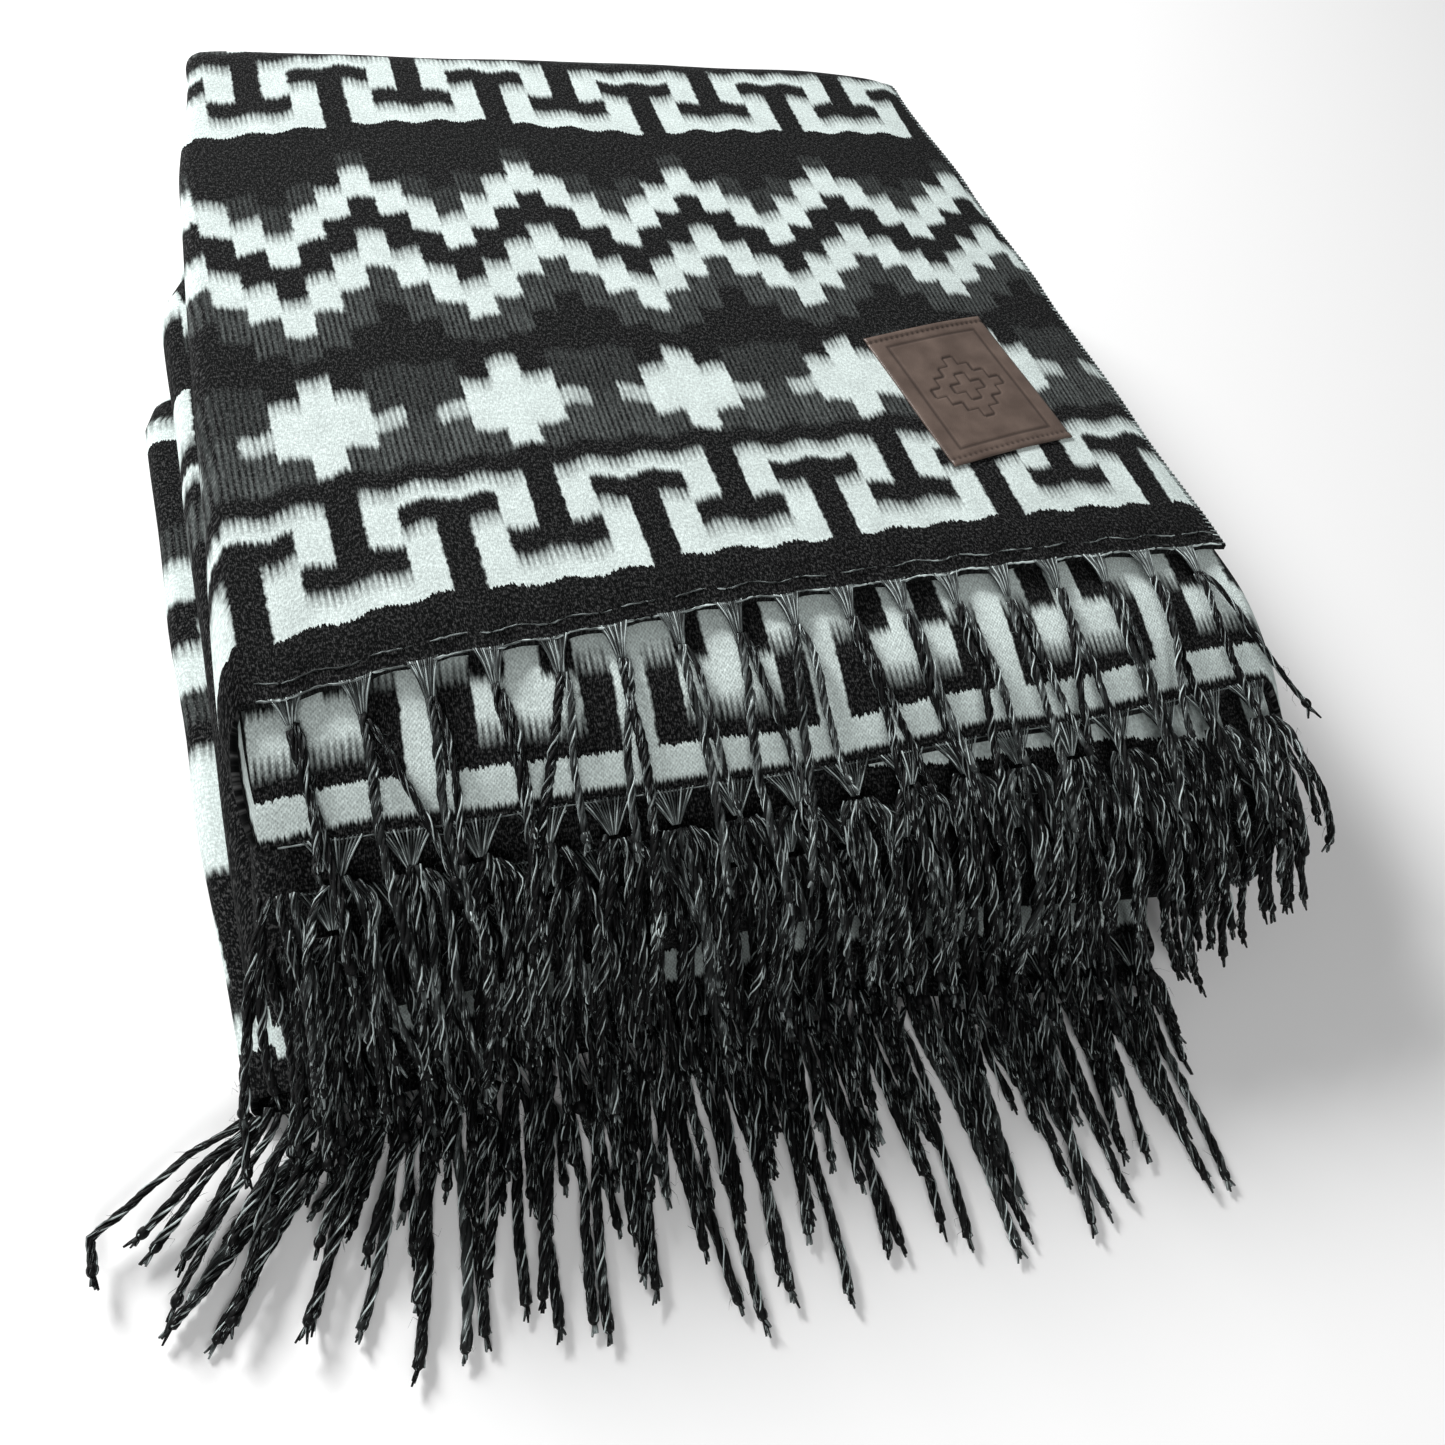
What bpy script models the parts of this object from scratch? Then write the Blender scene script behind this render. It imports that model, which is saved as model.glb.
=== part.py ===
"""A large alpaca blanket, folded for a shelf, with a twisted fringe at both ends.

The cloth is one solid. It is folded in three across its width, so that its section is
a flat Z of three layers, and that strip is laid back and forth four times along its
length, which makes twelve layers with a little air between them. Both fringed ends lie
at the front: the three layers of one end on top, the three of the other on the floor.
Each layer's fringe is a narrow strip just off the cloth's edge with its strands fused
to it. A leather patch lies on the top layer. X runs along the weft, -Y is the fringed
front, and the floor is Z = 0.
"""

import math

import bpy
from mathutils import Vector
from mathutils.bvhtree import BVHTree

# The cloth, in metres.
CLOTH_THICKNESS = 0.0092
LAYER_PITCH = 0.0117
FOLDED_WIDTH = 0.55
SELVEDGE_INSET = 0.002
INNER_SELVEDGE_INSET = 0.016
EDGE_THINNING = 0.6
GAP = 0.0003

# How the strip of three layers is laid back and forth.
LAYERS_IN_STRIP = 3
PASSES = 4
STRIP_PITCH = LAYERS_IN_STRIP * LAYER_PITCH
TURN_RADIUS = STRIP_PITCH / 2
FLOOR_OFFSET = (LAYER_PITCH - CLOTH_THICKNESS) / 2
UPPER_BACK_Y = 0.250
LOWER_BACK_Y = 0.155
FRONT_TURN_Y = -0.352

# The front of the stack is pressed down, and its lower layers lie further out at the right.
PRESS_START_Y = -0.25
PRESS_RUN = 0.15
PRESS_SHARE = 0.26
SPREAD_START_X = -0.05
SPREAD_RUN_X = 0.30
SPREAD_START_Y = -0.10
SPREAD_RUN_Y = 0.25
SPREAD_Y = 0.050
BACK_SKEW = 0.055

# The fringe.
STRANDS = 17
STRAND_WIDTH = 0.008
STRAND_HEIGHT = 0.007
STRAND_TIP_SHARE = 0.75
STRAND_LENGTH_SPREAD = 0.5
ROOT_WIDTH = 0.014
STRIP_DEPTH = 0.004
STRIP_SHARE = 0.8
FIRST_ROOT_X = -0.257
ROOT_PITCH = 0.0309

# The leather patch.
PATCH_WIDTH = 0.092
PATCH_LENGTH = 0.114
PATCH_THICKNESS = 0.0016
PATCH_CENTRE = (0.175, -0.096)
PATCH_TURN = math.radians(6.0)
PATCH_LIFT = 0.0004
PATCH_STEPS = (4, 5)

# The middle of the whole part's outline on the floor, which becomes the origin.
ORIGIN_X = -0.02127
ORIGIN_Y = -0.13467

# Left and right edges of the strip at each y, one row for each section of a pass.
PASS_EDGES = {
    1: [
        # y, left, right
        (0.245, -0.262, 0.256),
        (0.120, -0.274, 0.270),
        (0.000, -0.277, 0.281),
        (-0.130, -0.279, 0.290),
        (-0.260, -0.281, 0.300),
        (-0.340, -0.281, 0.296),
    ],
    2: [
        (0.245, -0.262, 0.258),
        (0.100, -0.268, 0.277),
        (-0.100, -0.272, 0.292),
        (-0.260, -0.276, 0.302),
        (-0.370, -0.282, 0.284),
    ],
    3: [
        (0.180, -0.262, 0.250),
        (0.130, -0.268, 0.262),
        (0.092, -0.287, 0.270),
        (-0.050, -0.293, 0.276),
        (-0.250, -0.291, 0.272),
        (-0.370, -0.290, 0.262),
    ],
    4: [
        (0.180, -0.262, 0.240),
        (0.105, -0.272, 0.250),
        (0.048, -0.322, 0.248),
        (-0.100, -0.318, 0.240),
        (-0.220, -0.312, 0.222),
        (-0.400, -0.301, 0.200),
    ],
}

# Where each layer ends at the front, at five places across the fold.
TOP_END_Y = [
    # x, first layer, second layer, third layer
    (-0.275, -0.262, -0.322, -0.340),
    (-0.160, -0.247, -0.325, -0.344),
    (-0.020, -0.237, -0.328, -0.346),
    (0.120, -0.236, -0.321, -0.348),
    (0.275, -0.236, -0.312, -0.356),
]
FLOOR_END_Y = [
    (-0.275, -0.412, -0.404, -0.395),
    (-0.160, -0.416, -0.406, -0.398),
    (-0.020, -0.418, -0.410, -0.400),
    (0.120, -0.416, -0.408, -0.398),
    (0.275, -0.410, -0.402, -0.392),
]

# How far along a pass its sections lie, from its start to its end.
PASS_SHARES = {
    1: (0.0, 0.03, 0.18, 0.36, 0.54, 0.72, 0.88, 1.0),
    2: (0.0, 0.30, 0.62, 0.86, 1.0),
    3: (0.0, 0.25, 0.50, 0.75, 0.88, 0.95, 1.0),
    4: (0.0, 0.10, 0.19, 0.36, 0.58, 0.80, 0.97, 1.0),
}

# Routes of the six rows of strands, from the cloth's edge to the tips: y and height.
TOP_ROW = [
    (-0.262, 0.1306),
    (-0.290, 0.1272),
    (-0.322, 0.1190),
    (-0.354, 0.1145),
    (-0.382, 0.1090),
    (-0.412, 0.0940),
]
SECOND_ROW = [
    (-0.351, 0.1035),
    (-0.375, 0.0980),
    (-0.398, 0.0845),
    (-0.413, 0.0635),
    (-0.428, 0.0470),
    (-0.462, 0.0350),
]
THIRD_ROW = [
    (-0.366, 0.0870),
    (-0.387, 0.0740),
    (-0.399, 0.0550),
    (-0.413, 0.0370),
    (-0.434, 0.0255),
    (-0.478, 0.0215),
]
FLOOR_TOP_ROW = [
    (-0.418, 0.0195),
    (-0.446, 0.0145),
    (-0.480, 0.0125),
    (-0.512, 0.0120),
    (-0.540, 0.0120),
]
FLOOR_MIDDLE_ROW = [
    (-0.432, 0.0066),
    (-0.449, STRAND_HEIGHT / 2 + GAP),
    (-0.488, STRAND_HEIGHT / 2),
    (-0.528, STRAND_HEIGHT / 2),
    (-0.568, STRAND_HEIGHT / 2),
]
FLOOR_LOWEST_ROW = [
    (-0.432, STRAND_HEIGHT / 2 + GAP),
    (-0.455, STRAND_HEIGHT / 2),
    (-0.490, STRAND_HEIGHT / 2),
    (-0.525, STRAND_HEIGHT / 2),
    (-0.568, STRAND_HEIGHT / 2),
]


def smooth(value):
    """Eases from 0 to 1, flat at both ends."""
    value = min(max(value, 0.0), 1.0)
    return value * value * (3 - 2 * value)


def between(table, where, column):
    """A column of a table, read at a place between its rows."""
    rows = sorted(table)
    if where <= rows[0][0]:
        return rows[0][column]
    for low, high in zip(rows, rows[1:]):
        if where <= high[0]:
            share = smooth((where - low[0]) / (high[0] - low[0]))
            return low[column] + share * (high[column] - low[column])
    return rows[-1][column]


def spread(x, y, z):
    """How far a point at the front lies out to the front, most at the right and on the floor."""
    front = smooth((SPREAD_START_Y - y) / SPREAD_RUN_Y)
    side = smooth((x - SPREAD_START_X) / SPREAD_RUN_X)
    return SPREAD_Y * front * side * max(0.0, 1 - z / (PASSES * STRIP_PITCH))


def settle(x, y, z):
    """Presses the front down, spreads its lower layers and gives the cloth its soft unevenness."""
    press = 1 - PRESS_SHARE * smooth((PRESS_START_Y - y) / PRESS_RUN)
    swell = 0.012 * math.sin(9.0 * x + 1.0) * math.sin(7.5 * y + 0.6)
    right_fall = 0.05 * smooth((x - 0.17) / 0.13)
    z *= press * (1 + swell - right_fall)
    back = BACK_SKEW * x * smooth((y + 0.05) / 0.30)
    return (x - ORIGIN_X, y - spread(x, y, z) - back - ORIGIN_Y, z)


def cloth_section():
    """Stations across the cloth: place, level, face direction, layer and share of a fold."""
    radius = LAYER_PITCH / 2
    half = FOLDED_WIDTH / 2
    left, right = -half + radius, half - radius
    spans = (
        (half - SELVEDGE_INSET, left, LAYER_PITCH, 1, 1),
        (left, right, 0.0, -1, 2),
        (right, -half + INNER_SELVEDGE_INSET, -LAYER_PITCH, 1, 3),
    )
    shares = (0.0, 0.04, 0.18, 0.36, 0.54, 0.72, 0.88, 1.0)
    stations = []
    for start, end, level, face, layer in spans:
        for share in shares:
            if share == 0.04 and layer != 1:
                continue
            stations.append((start + share * (end - start), level, 0.0, face, layer, 0.0))
        if layer == 1:
            for turn in (45, 90, 135):
                angle = math.radians(90 + turn)
                across, up = math.cos(angle), math.sin(angle)
                place = (left + radius * across, radius + radius * up)
                stations.append((*place, across, up, 1, turn / 180))
        if layer == 2:
            for turn in (45, 90, 135):
                angle = math.radians(90 - turn)
                across, up = math.cos(angle), math.sin(angle)
                place = (right + radius * across, -radius + radius * up)
                stations.append((*place, -across, -up, 2, turn / 180))
    return stations


def end_y(table, station):
    """Where the cloth ends at a station, passing from layer to layer round a fold."""
    across, layer, fold = station[0], station[4], station[5]
    here = between(table, across, layer)
    if fold:
        here += smooth(fold) * (between(table, across, layer + 1) - here)
    return here


def pass_places(number, station, from_y, to_y):
    """Places along one pass: y, height, and the way the strip faces there."""
    height = (PASSES + 0.5 - number) * STRIP_PITCH - FLOOR_OFFSET
    up = 1 if number % 2 else -1
    for share in PASS_SHARES[number]:
        y = from_y + share * (to_y - from_y)
        edges = [between(PASS_EDGES[number], y, column) for column in (1, 2)]
        yield y, height, 0.0, up, edges


def turn_places(number, y, outward):
    """Places round the fold after a pass, which bulges to the back or to the front."""
    height = (PASSES - number) * STRIP_PITCH - FLOOR_OFFSET
    for turn in (30, 60, 90, 120, 150):
        angle = math.radians(90 - turn)
        along, up = outward * math.cos(angle), math.sin(angle)
        share = turn / 180
        edges = []
        for column in (1, 2):
            before = between(PASS_EDGES[number], y, column)
            after = between(PASS_EDGES[number + 1], y, column)
            edges.append(before + share * (after - before))
        place = (y + TURN_RADIUS * along, height + TURN_RADIUS * up)
        yield *place, outward * along, outward * up, edges


def cloth_path(station):
    """All places along the cloth at one station of its section, from end to end."""
    top_end = end_y(TOP_END_Y, station)
    floor_end = end_y(FLOOR_END_Y, station)
    places = list(pass_places(1, station, top_end, UPPER_BACK_Y))
    places += turn_places(1, UPPER_BACK_Y, 1)
    places += pass_places(2, station, UPPER_BACK_Y, FRONT_TURN_Y)
    places += turn_places(2, FRONT_TURN_Y, -1)
    places += pass_places(3, station, FRONT_TURN_Y, LOWER_BACK_Y)
    places += turn_places(3, LOWER_BACK_Y, 1)
    places += pass_places(4, station, LOWER_BACK_Y, floor_end)
    return places


def cloth_point(station, place, side, thickness, beyond=0.0):
    """A point of the cloth's face (side 1) or reverse (side -1)."""
    across, level, face_across, face_level = station[:4]
    y, height, along, up, (left, right) = place
    across += side * face_across * thickness / 2
    level += side * face_level * thickness / 2
    share = (across + FOLDED_WIDTH / 2) / FOLDED_WIDTH
    x = left + share * (right - left)
    return settle(x, y + level * along - beyond, height + level * up)


def new_object(name, points, faces, material):
    """An object from points and faces, with its faces turned outward."""
    mesh = bpy.data.meshes.new(name)
    mesh.from_pydata([tuple(point) for point in points], [], faces)
    mesh.materials.append(material)
    mesh.update()
    obj = bpy.data.objects.new(name, mesh)
    bpy.context.collection.objects.link(obj)
    bpy.context.view_layer.objects.active = obj
    bpy.ops.object.select_all(action="DESELECT")
    obj.select_set(True)
    bpy.ops.object.mode_set(mode="EDIT")
    bpy.ops.mesh.select_all(action="SELECT")
    bpy.ops.mesh.normals_make_consistent(inside=False)
    bpy.ops.object.mode_set(mode="OBJECT")
    mesh.shade_smooth()
    mesh.set_sharp_from_angle(angle=math.radians(40))
    return obj


def cloth_material():
    """Brushed alpaca, charcoal and off-white, with no gloss."""
    return plain_material("blanket_cloth", (0.055, 0.056, 0.060), 0.95)


def fringe_material():
    """Two-ply yarn, mostly charcoal."""
    return plain_material("blanket_fringe", (0.022, 0.022, 0.024), 0.92)


def patch_material():
    """Dark brown tooled leather."""
    return plain_material("patch_leather", (0.135, 0.080, 0.058), 0.55)


def plain_material(name, colour, roughness):
    """A Principled BSDF with one colour."""
    material = bpy.data.materials.new(name)
    material.use_nodes = True
    shader = material.node_tree.nodes["Principled BSDF"]
    shader.inputs["Base Color"].default_value = (*colour, 1.0)
    shader.inputs["Roughness"].default_value = roughness
    shader.inputs["Metallic"].default_value = 0.0
    return material


def make_cloth(material):
    """The folded cloth, one closed skin over its face, its reverse and its four edges."""
    stations = cloth_section()
    paths = [cloth_path(station) for station in stations]
    columns, rows = len(stations), len(paths[0])
    points = []
    for side in (1, -1):
        for column, station in enumerate(stations):
            for row, place in enumerate(paths[column]):
                at_edge = row in (0, rows - 1) or column in (0, columns - 1)
                thickness = CLOTH_THICKNESS * (EDGE_THINNING if at_edge else 1.0)
                points.append(cloth_point(station, place, side, thickness))

    def index(side, column, row):
        return (side * columns + column) * rows + row

    faces = []
    for column in range(columns - 1):
        for row in range(rows - 1):
            corners = ((column, row), (column + 1, row), (column + 1, row + 1), (column, row + 1))
            faces.append([index(0, *corner) for corner in corners])
            faces.append([index(1, *corner) for corner in reversed(corners)])
    for column in range(columns - 1):
        for row in (0, rows - 1):
            pair = ((column, row), (column + 1, row))
            front = [index(0, *corner) for corner in pair]
            faces.append(front + [index(1, *corner) for corner in reversed(pair)])
    for row in range(rows - 1):
        for column in (0, columns - 1):
            pair = ((column, row), (column, row + 1))
            front = [index(0, *corner) for corner in pair]
            faces.append(front + [index(1, *corner) for corner in reversed(pair)])
    return new_object("blanket", points, faces, material)


def edge_line(layer, at_top, side, beyond):
    """Points along one layer's edge, a little beyond the cloth, as x along the fold and place."""
    line = []
    for station in cloth_section():
        if station[4] != layer or station[5]:
            continue
        place = cloth_path(station)[0 if at_top else -1]
        thickness = CLOTH_THICKNESS * EDGE_THINNING * STRIP_SHARE
        line.append((station[0], Vector(cloth_point(station, place, side, thickness, beyond))))
    return sorted(line, key=lambda entry: entry[0])


def on_line(line, across):
    """The place on an edge line at one distance across the fold."""
    for (low, start), (high, end) in zip(line, line[1:]):
        if across <= high:
            return start.lerp(end, (across - low) / (high - low))
    return line[-1][1]


def ring(centre, ahead, width, height):
    """Four corners of a strand's section, in the order of the strip's front face."""
    side = (Vector((1, 0, 0)) - ahead * ahead.x).normalized()
    up = ahead.cross(side)
    corners = ((-1, -1), (1, -1), (1, 1), (-1, 1))
    return [centre + side * (a * width / 2) + up * (b * height / 2) for a, b in corners]


def strand_centres(root, route, lean):
    """Centres of a strand's sections, led sideways by its lean."""
    start = route[0][0]
    reach = route[-1][0] - start
    last_share = 1 - STRAND_LENGTH_SPREAD * (0.5 + 0.5 * math.sin(95.0 * root))
    before, last = Vector(route[-2]), Vector(route[-1])
    tip = before.lerp(last, last_share)
    centres = []
    for y, height in (*route[:-1], tip):
        share = (y - start) / reach
        aside, drawn_in = lean(root, share)
        x = root + aside
        out = spread(x, y, height) - drawn_in
        centres.append(Vector((x - ORIGIN_X, y - out - ORIGIN_Y, height)))
    return centres


def make_fringe(name, layer, at_top, route, shift, lean, material):
    """One layer's strip and its strands, as one closed skin."""
    faces_up = (layer != 2) == at_top
    low_side, high_side = (-1, 1) if faces_up else (1, -1)
    backs = [edge_line(layer, at_top, side, GAP) for side in (low_side, high_side)]
    fronts = [edge_line(layer, at_top, side, GAP + STRIP_DEPTH) for side in (low_side, high_side)]
    starts = [FIRST_ROOT_X + (number + shift) * ROOT_PITCH for number in range(STRANDS)]
    ends = [start + ROOT_WIDTH for start in starts]
    cuts = sorted([backs[0][0][0], *starts, *ends, backs[0][-1][0]])
    points, faces = [], []
    for cut in cuts:
        points += [on_line(line, cut) for line in (backs[0], fronts[0], fronts[1], backs[1])]
    roots = {cuts.index(start) for start in starts}
    for number in range(len(cuts) - 1):
        here, there = 4 * number, 4 * (number + 1)
        for corner in range(4):
            after = (corner + 1) % 4
            if corner == 1 and number in roots:
                continue
            faces.append([here + corner, there + corner, there + after, here + after])
    faces += [[0, 1, 2, 3], [4 * (len(cuts) - 1) + corner for corner in (3, 2, 1, 0)]]
    for number in sorted(roots):
        before = [4 * number + 1, 4 * (number + 1) + 1, 4 * (number + 1) + 2, 4 * number + 2]
        middle = sum((points[corner] for corner in before), Vector()) / 4
        centres = strand_centres(middle.x + ORIGIN_X, route, lean)
        line = [middle, *centres]
        for step, centre in enumerate(centres, 1):
            ahead = line[min(step + 1, len(line) - 1)] - line[step - 1]
            taper = STRAND_TIP_SHARE if step == len(centres) else 1.0
            size = (STRAND_WIDTH * taper, STRAND_HEIGHT)
            added = ring(centre, ahead.normalized(), *size)
            after = list(range(len(points), len(points) + 4))
            points += added
            for corner in range(4):
                follow = (corner + 1) % 4
                faces.append([before[corner], before[follow], after[follow], after[corner]])
            before = after
        faces.append(before)
    return new_object(name, points, faces, material)


def top_lean(x, share):
    """The upper strands wander a little as they hang."""
    return share * 0.010 * math.sin(21.0 * x + 0.4), 0.0


def second_lean(x, share):
    """The lower hanging rows drop straighter towards the right corner."""
    return share * 0.008 * math.sin(25.0 * x + 2.2), share ** 3 * 0.034 * smooth((x + 0.05) / 0.28)


def third_lean(x, share):
    return share * 0.008 * math.sin(18.0 * x + 4.0), share ** 4 * 0.026 * smooth((x + 0.05) / 0.28)


def floor_lean(x, share):
    """The strands on the floor fan out at the left corner and lie shorter at the right."""
    fan = -0.085 * math.exp(-(x + 0.30) / 0.09)
    drawn_in = 0.046 * smooth((x + 0.05) / 0.28) + 0.110 * math.exp(-(x + 0.30) / 0.050)
    return share * (fan + 0.006 * math.sin(24.0 * x)), share * drawn_in


def floor_top_lean(x, share):
    fan = -0.070 * math.exp(-(x + 0.30) / 0.09)
    drawn_in = 0.040 * smooth((x + 0.05) / 0.28) + 0.060 * math.exp(-(x + 0.30) / 0.050)
    return share * (fan + 0.008 * math.sin(19.0 * x + 1.5)), share * drawn_in


def make_patch(cloth, material):
    """The leather patch, which lies on the top layer and follows it."""
    tree = BVHTree.FromObject(cloth, bpy.context.evaluated_depsgraph_get())
    columns, rows = PATCH_STEPS
    centre = Vector((PATCH_CENTRE[0] - ORIGIN_X, PATCH_CENTRE[1] - ORIGIN_Y, 0))
    along = Vector((math.cos(PATCH_TURN), math.sin(PATCH_TURN), 0))
    up = Vector((-along.y, along.x, 0))
    above = Vector((0, 0, 1))
    points, faces = [], []
    for lift in (PATCH_LIFT, PATCH_LIFT + PATCH_THICKNESS):
        for row in range(rows + 1):
            for column in range(columns + 1):
                across = (column / columns - 0.5) * PATCH_WIDTH
                down = (row / rows - 0.5) * PATCH_LENGTH
                place = centre + along * across + up * down
                found = tree.ray_cast(place + above, -above)[0]
                points.append(found + above * lift)

    def index(layer, row, column):
        return (layer * (rows + 1) + row) * (columns + 1) + column

    for layer in (0, 1):
        for row in range(rows):
            for column in range(columns):
                faces.append([index(layer, row, column), index(layer, row, column + 1),
                              index(layer, row + 1, column + 1), index(layer, row + 1, column)])
    for row in range(rows):
        for column in (0, columns):
            faces.append([index(0, row, column), index(0, row + 1, column),
                          index(1, row + 1, column), index(1, row, column)])
    for column in range(columns):
        for row in (0, rows):
            faces.append([index(0, row, column), index(0, row, column + 1),
                          index(1, row, column + 1), index(1, row, column)])
    return new_object("leather_patch", points, faces, material)


def main():
    for old in list(bpy.data.objects):
        bpy.data.objects.remove(old)
    yarn = fringe_material()
    cloth = make_cloth(cloth_material())
    make_patch(cloth, patch_material())
    make_fringe("fringe_top", 1, True, TOP_ROW, 0.0, top_lean, yarn)
    make_fringe("fringe_top_second", 2, True, SECOND_ROW, 0.35, second_lean, yarn)
    make_fringe("fringe_top_third", 3, True, THIRD_ROW, 0.15, third_lean, yarn)
    make_fringe("fringe_floor_third", 3, False, FLOOR_TOP_ROW, 0.25, floor_top_lean, yarn)
    make_fringe("fringe_floor_second", 2, False, FLOOR_MIDDLE_ROW, 0.5, floor_lean, yarn)
    make_fringe("fringe_floor", 1, False, FLOOR_LOWEST_ROW, 0.0, floor_lean, yarn)


main()
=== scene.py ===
import math

import bpy
import numpy as np
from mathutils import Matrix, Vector
from mathutils.bvhtree import BVHTree


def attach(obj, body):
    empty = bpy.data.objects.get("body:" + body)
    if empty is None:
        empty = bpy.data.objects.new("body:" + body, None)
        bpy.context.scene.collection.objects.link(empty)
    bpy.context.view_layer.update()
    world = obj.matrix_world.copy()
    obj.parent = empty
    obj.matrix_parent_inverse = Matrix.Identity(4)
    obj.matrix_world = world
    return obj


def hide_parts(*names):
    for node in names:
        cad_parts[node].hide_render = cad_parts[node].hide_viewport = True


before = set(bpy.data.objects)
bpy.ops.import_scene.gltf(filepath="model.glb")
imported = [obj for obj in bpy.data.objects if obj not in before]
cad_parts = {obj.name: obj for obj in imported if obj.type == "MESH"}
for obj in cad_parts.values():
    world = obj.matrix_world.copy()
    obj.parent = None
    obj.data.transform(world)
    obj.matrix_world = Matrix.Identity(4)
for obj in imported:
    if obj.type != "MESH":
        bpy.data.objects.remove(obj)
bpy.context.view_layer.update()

# The view: the folded blanket is seen from above its left front corner. The camera's place and
# turn come from the perspective of the woven bands, whose repeat is 106 mm wide.
outline_middle_x, outline_middle_y = -0.02127, -0.13467
band_repeat = 0.1064
camera_side, camera_front, camera_height = -0.225, -0.590, 0.6352
camera_turn_degrees = (32.25, -9.76, -16.48)
lens_mm = 29.9
bpy.ops.object.select_all(action="DESELECT")
bpy.ops.object.camera_add(
    location=(camera_side - outline_middle_x, camera_front - outline_middle_y, camera_height),
    rotation=[math.radians(angle) for angle in camera_turn_degrees],
)
camera = bpy.context.object
camera.name = "photo_view"
camera.data.lens = lens_mm
camera.data.sensor_width = 36.0
camera.data.clip_start = 0.01
bpy.context.scene.camera = camera
bpy.context.scene.view_settings.view_transform = "Standard"

# The floor: a plain pale studio sheet, matt and much wider than the view. It lies level with
# the underside of the lowest layer, a hair below it.
floor_size, floor_height = 12.0, -0.0004
bpy.ops.mesh.primitive_plane_add(size=floor_size, location=(0, 0, floor_height))
floor = bpy.context.object
floor.name = "studio_floor"
floor_paint = bpy.data.materials.new("pale_floor")
floor_paint.use_nodes = True
floor_shader = floor_paint.node_tree.nodes["Principled BSDF"]
floor_shader.inputs["Base Color"].default_value = (0.95, 0.95, 0.95, 1)
floor_shader.inputs["Roughness"].default_value = 0.9
floor.data.materials.append(floor_paint)

# The light: one broad soft lamp low at the left and behind, a weaker one at the front,
# and an even pale surround, so that the shadow falls to the right and the front.
surround = bpy.data.worlds.new("studio_surround")
surround.use_nodes = True
surround.node_tree.nodes["Background"].inputs["Color"].default_value = (1.0, 1.0, 1.0, 1)
surround.node_tree.nodes["Background"].inputs["Strength"].default_value = 0.20
bpy.context.scene.world = surround
lamps = {
    "key": {"place": (-1.60, 2.75, 1.80), "size": 1.1, "watts": 208},
    "front": {"place": (-0.5, -1.9, 1.6), "size": 0.9, "watts": 22},
}
for lamp_name, lamp in lamps.items():
    bpy.ops.object.light_add(type="AREA", location=lamp["place"])
    light = bpy.context.object
    light.name = lamp_name + "_light"
    light.data.energy = lamp["watts"]
    light.data.size = lamp["size"]
    toward = Vector((0, 0, 0.05)) - Vector(lamp["place"])
    light.rotation_euler = toward.to_track_quat("-Z", "Y").to_euler()

# The blanket: one brushed alpaca cloth, about 1.65 by 2.3 m, woven double-faced in charcoal
# and off-white. It is folded in three across and laid back and forth four times, so its skin
# follows the same folds as its solid, with finer steps and thinned, softly waved edges.
cloth_thickness = 0.0092
layer_pitch = 0.0117
folded_width = 0.55
selvedge_inset, inner_selvedge_inset = 0.002, 0.016
strip_pitch = 3 * layer_pitch
passes = 4
corner_round = 0.042
back_left_x, back_right_x, back_edge_y, back_slant = -0.268, 0.262, 0.290, 0.055
floor_offset = (layer_pitch - cloth_thickness) / 2
upper_back_y, lower_back_y, front_turn_y = 0.250, 0.155, -0.352
pass_edges = {
    1: [(0.245, -0.262, 0.256), (0.120, -0.274, 0.270), (0.000, -0.277, 0.281),
        (-0.130, -0.279, 0.290), (-0.260, -0.281, 0.300), (-0.340, -0.281, 0.296)],
    2: [(0.245, -0.262, 0.258), (0.100, -0.268, 0.277), (-0.100, -0.272, 0.292),
        (-0.260, -0.276, 0.302), (-0.370, -0.282, 0.284)],
    3: [(0.180, -0.272, 0.250), (0.130, -0.286, 0.262), (0.092, -0.300, 0.270),
        (-0.050, -0.297, 0.276), (-0.250, -0.292, 0.272), (-0.370, -0.290, 0.262)],
    4: [(0.180, -0.262, 0.240), (0.105, -0.272, 0.250), (0.048, -0.322, 0.248),
        (-0.100, -0.318, 0.240), (-0.220, -0.312, 0.222), (-0.400, -0.301, 0.200)],
}
top_end_y = [
    (-0.275, -0.262, -0.322, -0.340), (-0.160, -0.247, -0.325, -0.344),
    (-0.020, -0.237, -0.328, -0.346), (0.120, -0.236, -0.321, -0.348),
    (0.275, -0.236, -0.312, -0.356),
]
floor_end_y = [
    (-0.275, -0.412, -0.404, -0.395), (-0.160, -0.416, -0.406, -0.398),
    (-0.020, -0.418, -0.410, -0.400), (0.120, -0.416, -0.408, -0.398),
    (0.275, -0.410, -0.402, -0.392),
]


def smooth(value):
    value = np.clip(value, 0.0, 1.0)
    return value * value * (3 - 2 * value)


def between(table, where, column):
    """A column of a table, eased between its rows."""
    rows = sorted(table)
    places = np.array([row[0] for row in rows])
    values = np.array([row[column] for row in rows])
    where = np.clip(where, places[0], places[-1])
    low = np.clip(np.searchsorted(places, where) - 1, 0, len(rows) - 2)
    share = smooth((where - places[low]) / (places[low + 1] - places[low]))
    return values[low] + share * (values[low + 1] - values[low])


def spread(x, y, z):
    """How far the lower layers lie out to the front."""
    front = smooth((-0.10 - y) / 0.25)
    side = smooth((x + 0.05) / 0.30)
    return 0.050 * front * side * np.maximum(0.0, 1 - z / (passes * strip_pitch))


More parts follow.
